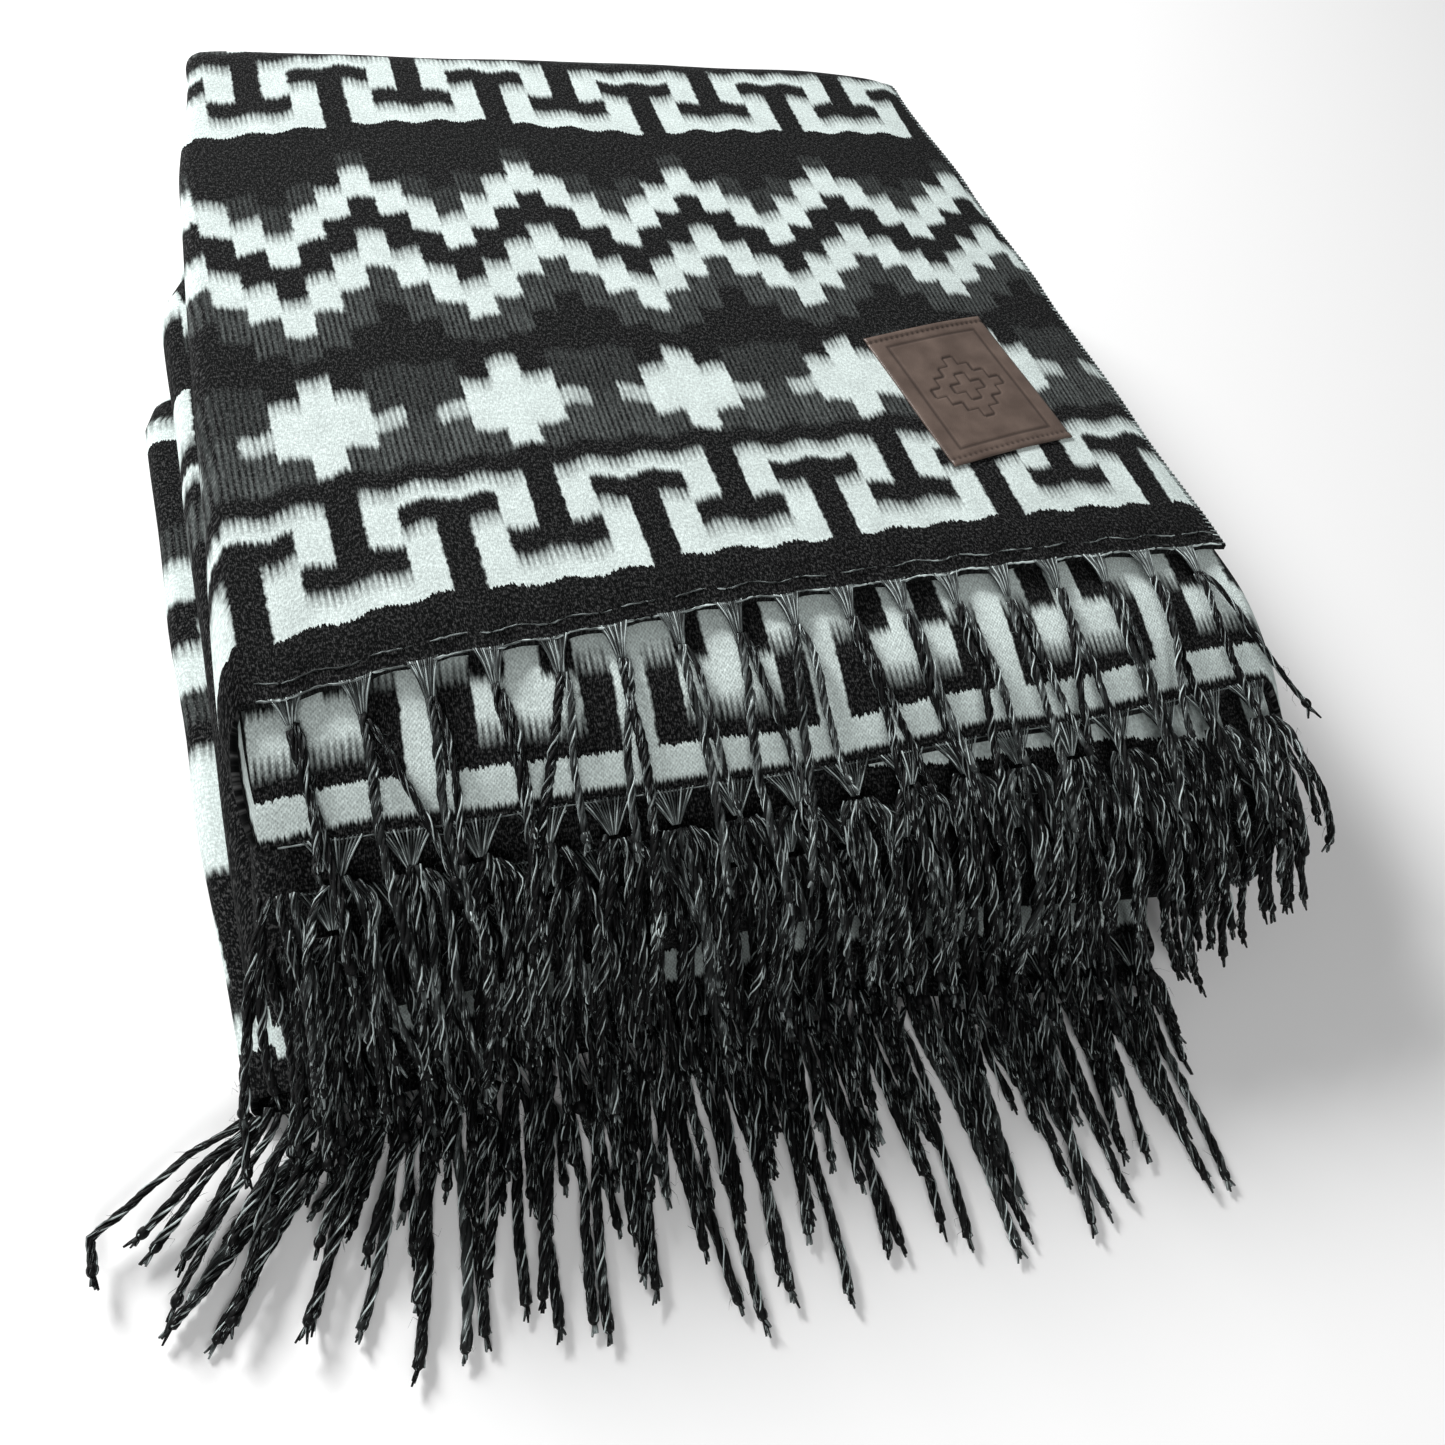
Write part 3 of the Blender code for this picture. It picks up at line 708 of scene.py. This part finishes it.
def add_tube(yarn, line, radii, sides, tone):
    """Adds a closed tube along a line, with a flat map in metres and one tone."""
    frames = line_frames(line)
    angles = np.linspace(0, 2 * math.pi, sides, endpoint=False)
    around = (np.cos(angles)[:, None, None] * frames[:, 0]
              + np.sin(angles)[:, None, None] * frames[:, 1]).transpose(1, 0, 2)
    ring_points = line[:, None] + around * np.asarray(radii)[:, None, None]
    run = line_run(line)
    first, rings = yarn["count"], len(line)
    places = np.stack([
        np.broadcast_to(angles * 0.002 + first * 0.00137, (rings, sides)),
        np.broadcast_to(run[:, None], (rings, sides)),
    ], -1)
    steps = np.arange(rings - 1)[:, None] * sides + first
    here = np.arange(sides)
    there = (here + 1) % sides
    corners = (here, there, there + sides, here + sides)
    quads = np.stack([steps + corner for corner in corners], -1)
    yarn["points"].append(ring_points.reshape(-1, 3))
    yarn["maps"].append(places.reshape(-1, 2))
    yarn["tones"].append(np.full(rings * sides, tone))
    yarn["quads"].append(quads.reshape(-1, 4))
    yarn["caps"].append([first + side for side in reversed(range(sides))])
    yarn["caps"].append([first + (rings - 1) * sides + side for side in range(sides)])
    yarn["count"] += rings * sides


def new_yarn():
    """An empty store for the tubes of one piece."""
    return {"points": [], "quads": [], "caps": [], "maps": [], "tones": [], "count": 0}


def yarn_piece(name, yarn):
    """A finished piece from the tubes that a yarn has gathered."""
    mesh = bpy.data.meshes.new(name)
    faces = np.concatenate(yarn["quads"]).tolist() + yarn["caps"]
    mesh.from_pydata(np.concatenate(yarn["points"]).tolist(), [], faces)
    mesh.update()
    lay_flat_map(mesh, np.concatenate(yarn["maps"]))
    tones = mesh.attributes.new("tone", "FLOAT", "POINT")
    tones.data.foreach_set("value", np.concatenate(yarn["tones"]).astype(np.float32))
    mesh.materials.append(twisted_yarn)
    mesh.shade_smooth()
    piece = bpy.data.objects.new(name, mesh)
    bpy.context.scene.collection.objects.link(piece)
    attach(piece, "root")
    return piece


def yarn_material():
    """Twisted alpaca yarn: charcoal with paler fibres caught in the ply, and sparse pale flecks
    that are painted highlights, glints where fibres catch the light.
    """
    material, tree, shader, across, along = flat_material("twisted_yarn")
    tone = tree.nodes.new("ShaderNodeAttribute")
    tone.attribute_name = "tone"
    # Painted highlight: the sparse pale flecks from this noise stand in for glints of light on the
    # fibres, and the tone adds the real pale threads. The pale colour, a little cool, serves both.
    painted_glint_noise = grain(tree, across, along, 1500, 130, 3.0)
    clump = grain(tree, across, along, 90, 60, 2.0)
    pale = node_math(tree, "ADD", painted_glint_noise, node_math(tree, "MULTIPLY", clump, 0.5))
    pale = eased(tree, pale, 0.90, 1.00)
    pale = node_math(tree, "MULTIPLY", pale, 0.90)
    broken = node_math(tree, "MULTIPLY", eased(tree, clump, 0.42, 0.60), 0.75)
    broken = node_math(tree, "ADD", 0.15, broken)
    own = node_math(tree, "MULTIPLY", tone.outputs["Fac"], broken)
    pale = node_math(tree, "ADD", pale, own, clamp=True)
    colour = tree.nodes.new("ShaderNodeMix")
    colour.data_type = "RGBA"
    tree.links.new(pale, colour.inputs[0])
    colour.inputs[6].default_value = (0.0012, 0.0013, 0.0016, 1)
    colour.inputs[7].default_value = (0.74, 0.84, 0.83, 1)
    tree.links.new(colour.outputs[2], shader.inputs["Base Color"])
    shader.inputs["Roughness"].default_value = 0.55
    shader.inputs["Specular IOR Level"].default_value = 0.16
    raise_relief(tree, shader, painted_glint_noise, 0.6, 0.0006)
    return material


twisted_yarn = yarn_material()
threads_in_strand = 4
thread_radius, thread_offset, twist_length = 0.00135, 0.0015, 0.030
ring_spacing = 0.0031
pale_thread_radius, pale_thread_tone = 0.00052, 1.10
fan_threads, lower_fan_threads, fan_thread_radius = 14, 6, 0.00055
fan_length, top_fan_length = 0.012, 0.010
hairs_on_strand = 9
farthest_left = -0.374
chance = np.random.default_rng(7)


def wander(run, amount):
    """A slow sideways drift along a strand, none at its root, in two directions."""
    phases = chance.uniform(0, 2 * math.pi, 4)
    grown = amount * smooth(run / 0.05)
    aside = np.sin(run * 38 + phases[0]) - math.sin(phases[0])
    upward = np.sin(run * 47 + phases[2]) - math.sin(phases[2])
    return grown * aside * 0.6, grown * upward * 0.35


def add_strand(yarn, line, thickness, tone):
    """One loosely twisted strand, with two thin pale threads wound into it."""
    frames = line_frames(line)
    run = line_run(line)
    pitch = twist_length * chance.uniform(0.8, 1.3)
    turn = 2 * math.pi * run / pitch + chance.uniform(0, 6)
    for thread in range(threads_in_strand + 2):
        pale = thread >= threads_in_strand
        phase = 2 * math.pi * thread / threads_in_strand + chance.uniform(-0.3, 0.3)
        swell = 1 + 0.28 * np.sin(run * chance.uniform(60, 110) + chance.uniform(0, 6))
        offset = thread_offset * thickness * swell * (1.55 if pale else 1.0)
        if pale:
            radius = pale_thread_radius
        else:
            radius = thread_radius * thickness * chance.uniform(0.8, 1.2)
        angle = turn + phase
        aside = np.cos(angle)[:, None] * frames[:, 0] + np.sin(angle)[:, None] * frames[:, 1]
        thread_line = line + aside * offset[:, None]
        thread_line[:, 2] = np.maximum(thread_line[:, 2], radius)
        radii = radius * (1 + 0.12 * np.sin(run * 240 + phase))
        shade = tone + (pale_thread_tone if pale else chance.uniform(-0.05, 0.10))
        add_tube(yarn, thread_line, radii, 3 if pale else 4, shade)


def add_tip(yarn, line, thickness, tone):
    """The small knot that closes a strand, and the cut ends beyond it."""
    tip, before = line[-1], line[-3]
    ahead = (tip - before) / np.linalg.norm(tip - before)
    turns = np.linspace(-1, 1, 6)
    knot = 0.0029 * thickness
    knot_line = tip - ahead * 0.002 + ahead * 0.0035 * turns[:, None]
    knot_line[:, 2] = np.maximum(knot_line[:, 2], knot * 0.9)
    add_tube(yarn, knot_line, knot * np.sqrt(np.maximum(0.08, 1 - turns ** 2)), 6, tone)
    for end in range(5):
        aim = ahead + chance.normal(0, 0.20, 3)
        tail = np.array([tip, tip + aim * 0.0030, tip + aim * chance.uniform(0.004, 0.007)])
        tail[:, 2] = np.maximum(tail[:, 2], 0.0010)
        add_tube(yarn, tail, np.array([0.0012, 0.0010, 0.0006]), 3, tone + chance.uniform(0, 0.45))


def add_hairs(yarn, line, thickness, count):
    """Loose fibres that stand off a strand, as thin three-sided spikes."""
    for hair in range(count):
        at = chance.integers(1, len(line) - 1)
        ahead = line[at + 1] - line[at - 1]
        ahead = ahead / np.linalg.norm(ahead)
        out = np.cross(ahead, chance.normal(0, 1, 3))
        out = out / np.linalg.norm(out)
        start = line[at] + out * 0.0024 * thickness
        bend = start + out * chance.uniform(0.001, 0.003) + ahead * chance.uniform(-0.003, 0.004)
        end = bend + out * chance.uniform(0, 0.002) + ahead * chance.uniform(-0.004, 0.006)
        spike = np.array([start, bend, end])
        spike[:, 2] = np.maximum(spike[:, 2], 0.0004)
        add_tube(yarn, spike, np.array([0.00014, 0.00011, 0.00004]), 3, 0.25)


# Beside each strand hang thinner ones from the same fan: how far aside each starts, how long
# it is, and how much it leans aside on its way.
companions = {
    "fringe_top": [(0.0, 0.92, 0.0), (0.0045, 0.66, 0.05)],
    "fringe_top_second": [(0.0, 0.93, 0.0), (0.0055, 0.84, 0.02), (-0.0060, 0.76, 0.0),
                          (0.0110, 0.88, -0.02), (-0.0110, 0.80, 0.03), (0.0155, 0.72, 0.0)],
    "fringe_top_third": [(0.0, 0.88, 0.0), (0.0065, 0.80, 0.0), (-0.0065, 0.84, 0.0),
                         (0.0125, 0.86, 0.02), (-0.0125, 0.90, 0.0)],
    "fringe_floor_third": [(0.0, 0.95, 0.0), (0.0080, 0.58, 0.05), (-0.0075, 0.72, -0.04),
                           (0.0145, 0.50, 0.0)],
    "fringe_floor_second": [(0.0, 1.0, 0.0), (0.0080, 0.55, 0.05), (-0.0090, 0.62, -0.08)],
    "fringe_floor": [(0.0, 1.0, 0.0), (-0.0080, 0.60, 0.06), (0.0090, 0.50, -0.06)],
}
# How much darker the tones of each row are painted, as painted shade.
row_painted_shade = {
    "fringe_top": 0.0, "fringe_top_second": -0.05, "fringe_top_third": -0.50,
    "fringe_floor_third": -0.20, "fringe_floor_second": 0.0, "fringe_floor": -0.10,
}
stray_lean = {
    "fringe_top": 0.11, "fringe_top_second": 0.09, "fringe_top_third": 0.025,
    "fringe_floor_third": 0.07, "fringe_floor_second": 0.06, "fringe_floor": 0.06,
}
corner_strands = {
    "fringe_top_second": [(-0.020, 0.92, -0.02), (-0.026, 0.86, -0.05), (-0.031, 0.92, -0.09),
                          (-0.035, 0.84, -0.11)],
    "fringe_top_third": [(-0.003, 0.86, 0.02), (-0.006, 0.94, 0.00), (-0.009, 0.92, -0.02),
                         (-0.014, 0.94, 0.03), (-0.017, 0.88, 0.02), (-0.020, 0.95, 0.02),
                         (-0.022, 0.90, -0.04), (-0.028, 0.94, -0.08), (-0.033, 0.94, -0.11)],
    "fringe_floor_third": [(-0.012, 0.86, -0.10), (-0.018, 0.90, -0.20), (-0.022, 0.80, -0.30),
                           (-0.026, 0.82, -0.42), (-0.028, 0.72, -0.52), (-0.031, 0.84, -0.62)],
    "fringe_floor_second": [(-0.016, 0.86, -0.15)],
}


def upper_skin(layer, on_top, inside):
    """The cloth's upper skin at one distance inside a layer's cut end, from left to right."""
    keep = np.flatnonzero((section[4] == layer) & (section[5] == 0))
    keep = keep[np.argsort(section[0][keep])]
    skin = skins[0 if (layer != 2) == on_top else 1]
    distance = full_from_top if on_top else full_from_top[-1:] - full_from_top
    spots = []
    for column in keep:
        order = np.argsort(distance[:, column])[:12]
        spots.append([np.interp(inside, distance[order, column], skin[order, column, axis])
                      for axis in range(3)])
    return section[0][keep], np.array(spots)


for name, row in fringe_rows.items():
    yarn = new_yarn()
    hanging = name.startswith("fringe_top_")
    across, feet = upper_skin(row["layer"], row["on_top"], 0.0020)
    thickness = 0.90 if name == "fringe_top" else 0.96
    length = top_fan_length if name == "fringe_top" else fan_length
    for number in range(strands):
        start_x = first_root_x + (number + row["shift"]) * root_pitch + root_width / 2
        root, knots = strand_line(name, row, number)
        whole_line, whole_run = even_curve(knots, ring_spacing)
        # At the right front corner the hanging strands are shorter.
        cut = 1 - 0.30 * smooth((start_x - 0.17) / 0.08) * hanging
        beside = list(companions[name])
        if number == 0:
            beside += corner_strands.get(name, [])
        for aside, reach, lean in beside:
            longest = whole_run[-1] * min(1.0, reach * cut * chance.uniform(0.88, 1.06))
            keep = (whole_run >= length + chance.uniform(0, 0.004)) & (whole_run <= longest)
            line, run = whole_line[keep], whole_run[keep] - whole_run[keep][0]
            swing, lift = wander(run, 0.0050 if hanging else 0.0035)
            swing = swing + run * (chance.normal(0, stray_lean[name]) + lean)
            rooted = 1.0 if abs(aside) > 0.0155 else smooth(run / 0.03 + 0.5)
            line[:, 0] += swing + aside * rooted
            line[:, 0] = np.maximum(line[:, 0], farthest_left - outline_middle_x)
            line[:, 1] += 0.2 * abs(aside) * smooth(run / 0.03)
            line[:, 1] += 0.45 * max(0, -lean - 0.15) * run
            line[:, 2] = np.maximum(line[:, 2] + lift, 0.0028)
            # Painted shade: some rows, most of all the third hanging row, get darker tones, with
            # fewer pale flecks and dimmer pale threads, as they lie in shade under or behind the
            # others.
            tone = row_painted_shade[name] + chance.choice([-0.30, -0.10, 0.02, 0.06])
            fullness = 1.0 if aside == 0 else chance.uniform(0.72, 0.92)
            add_strand(yarn, line, thickness * fullness, tone)
            add_tip(yarn, line, thickness, tone)
            add_hairs(yarn, line, thickness, hairs_on_strand)
        # The fan of warp ends, from the cloth's cut end to the twist.
        fan_width = root_pitch * (0.50 if name == "fringe_top" else 0.88)
        head = whole_line[int(length / ring_spacing) + 1]
        shown = fan_threads if row["on_top"] else lower_fan_threads
        for thread in range(shown):
            share = (thread + 0.5) / shown - 0.5
            from_x = start_x + share * fan_width
            foot = np.array([np.interp(from_x, across, feet[:, axis]) for axis in range(3)])
            foot[2] += 0.0002
            brink = foot * 0.55 + head * 0.45 + np.array([0, -0.001, 0.0012])
            gathered = head + np.array([0.004 * share, 0, 0])
            thread_line, _ = even_curve([foot, brink, gathered], 0.0025)
            shade = 0.95 if thread % 3 == 1 else 0.16
            add_tube(yarn, thread_line, np.full(len(thread_line), fan_thread_radius), 3, shade)
    piece = yarn_piece(name + "_yarn", yarn)
    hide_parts(name)

# The hemstitch: one line of pale thread a centimetre inside the top layer's cut end, and one
# wound along the end itself, which holds the fans and draws the end into arches between them.
# The two layers below have the second line alone, thinner.
hem = new_yarn()
for inside, radius, tone in ((0.0100, 0.00045, 0.40), (0.0006, 0.00065, 0.95)):
    across, spots = upper_skin(1, True, inside)
    hem_line, run = even_curve(spots[1:-1:2], 0.0022)
    hem_line[:, 1] += 0.0002 * np.sin(run * 900) + 0.0004 * np.sin(run * 47 + inside * 900)
    hem_line[:, 2] += 0.0001 + 0.0002 * np.sin(run * 1300)
    swell = 1 + 0.35 * np.sin(run * 700) * np.sin(run * 93)
    add_tube(hem, hem_line, radius * swell, 5, tone)
for layer in (2, 3):
    across, spots = upper_skin(layer, True, 0.0008)
    hem_line, run = even_curve(spots[1:-1:2], 0.0025)
    hem_line[:, 2] += 0.0002
    add_tube(hem, hem_line, 0.00045 * (1 + 0.3 * np.sin(run * 800)), 4, 0.35)
hemstitch = yarn_piece("hemstitch", hem)

# The overlock: pale yarn wrapped by machine round the outer selvedge every 3 mm, down the
# whole length of the cloth.
overlock = new_yarn()
stitch_spacing, stitch_reach, stitch_radius = 0.0032, 0.0036, 0.00045
selvedge_run = full_from_top[:, 0]
for stitch in range(int(selvedge_run[-1] / stitch_spacing)):
    at = (stitch + 0.5) * stitch_spacing
    over = np.array([
        [np.interp(at, selvedge_run, skins[side][:, column, axis]) for axis in range(3)]
        for side, column in ((0, 3), (0, 0), (1, 0), (1, 3))
    ])
    for inner, rim in ((0, 1), (3, 2)):
        inward = over[inner] - over[rim]
        over[inner] = over[rim] + inward * stitch_reach / np.linalg.norm(inward)
    outward = (over[1] - over[0]) / np.linalg.norm(over[1] - over[0])
    out = (over[1] + over[2]) / 2 + outward * 0.0012
    lean = np.array([0, chance.uniform(-0.0008, 0.0008), 0])
    rise = (over[0] - over[3]) * 0.06
    above, below = (over[0] + rise + lean, over[1] + rise), (over[2] - rise, over[3] - rise)
    stitch_line = np.array([*above, out, *below])
    radii = np.full(len(stitch_line), stitch_radius)
    add_tube(overlock, stitch_line, radii, 4, chance.uniform(0.45, 1.1))
overlock_thread = yarn_piece("selvedge_overlock", overlock)

# The patch: a rectangle of brown leather, turned under and stitched along its two short ends,
# with a blind-tooled line border and a plain stepped diamond pressed into its middle.
patch_width, patch_length, patch_thickness = 0.092, 0.114, 0.0016
patch_x, patch_y, patch_turn = 0.175, -0.096, math.radians(10.0)
hem_inset, border_inset, tool_step, tool_width = 0.0050, 0.0115, 0.0076, 0.0008
tool_lies = ((-tool_width, 0), (tool_width, 0), (0, -tool_width), (0, tool_width))
bpy.ops.object.select_all(action="DESELECT")
bpy.ops.mesh.primitive_grid_add(x_subdivisions=92, y_subdivisions=114, size=1)
patch = bpy.context.object
patch.name = "leather_patch_tooled"
top_skin = BVHTree.FromObject(cloth, bpy.context.evaluated_depsgraph_get())
patch_places, pressed = [], []
for point in patch.data.vertices:
    across, down = point.co.x * patch_width, point.co.y * patch_length
    patch_places.append((across, down))
    x = patch_x - outline_middle_x + across * math.cos(patch_turn) - down * math.sin(patch_turn)
    y = patch_y - outline_middle_y + across * math.sin(patch_turn) + down * math.cos(patch_turn)
    found = top_skin.ray_cast(Vector((x, y, 1)), Vector((0, 0, -1)))[0]
    from_side = patch_width / 2 - abs(across)
    from_end = patch_length / 2 - abs(down)
    edge = min(from_side, from_end)
    # The hem line, its stitches, the border line, and the outline of the stepped diamond.
    stitched = math.exp(-((from_end - hem_inset) / 0.0013) ** 2)
    stitched *= 0.55 + 0.45 * math.sin(across * 2 * math.pi / 0.0040)
    border_line = math.exp(-((edge - border_inset) / 0.0008) ** 2) if edge > 0.009 else 0
    drawn = 0.0
    for reach in (3, 1):
        held = []
        for right, back in tool_lies:
            column, line = round((across + right) / tool_step), round((down + back) / tool_step)
            held.append(abs(column) + abs(line) <= reach)
        if any(held) and not all(held):
            drawn = 1.0
    groove = max(stitched, border_line, 0.9 * drawn)
    pressed.append(groove)
    sink = 0.0007 * max(0.0, 1 - edge / 0.0022) ** 2 + 0.0006 * groove
    hem_swell = 0.0004 if from_end < hem_inset else 0.0
    point.co = (x, y, found.z + patch_thickness + hem_swell - sink)
bpy.ops.object.select_all(action="DESELECT")
patch.select_set(True)
bpy.context.view_layer.objects.active = patch
lay_flat_map(patch.data, np.array(patch_places))
groove_depth = patch.data.attributes.new("pressed", "FLOAT", "POINT")
groove_depth.data.foreach_set("value", np.array(pressed, np.float32))
patch.data.shade_smooth()
thick = patch.modifiers.new("thickness", "SOLIDIFY")
thick.thickness = patch_thickness * 0.9
thick.offset = -1
bpy.ops.object.modifier_apply(modifier="thickness")


def leather_material():
    """Smooth brown leather, a little mottled, darker where it is pressed in."""
    material, tree, shader, across, along = flat_material("brown_leather")
    pores = grain(tree, across, along, 1400, 1400, 3.0)
    mottle = grain(tree, across, along, 60, 60, 4.0)
    ramp = tree.nodes.new("ShaderNodeValToRGB")
    tree.links.new(mottle, ramp.inputs[0])
    ramp.color_ramp.elements[0].position = 0.3
    ramp.color_ramp.elements[0].color = (0.096, 0.067, 0.054, 1)
    ramp.color_ramp.elements[1].position = 0.75
    ramp.color_ramp.elements[1].color = (0.150, 0.108, 0.088, 1)
    groove = tree.nodes.new("ShaderNodeAttribute")
    groove.attribute_name = "pressed"
    colour = tree.nodes.new("ShaderNodeMix")
    colour.data_type = "RGBA"
    tree.links.new(node_math(tree, "MULTIPLY", groove.outputs["Fac"], 0.85), colour.inputs[0])
    tree.links.new(ramp.outputs["Color"], colour.inputs[6])
    colour.inputs[7].default_value = (0.022, 0.014, 0.011, 1)
    tree.links.new(colour.outputs[2], shader.inputs["Base Color"])
    shader.inputs["Roughness"].default_value = 0.38
    raise_relief(tree, shader, pores, 0.4, 0.0004)
    return material


patch.data.materials.clear()
patch.data.materials.append(leather_material())
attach(patch, "root")
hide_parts("leather_patch")
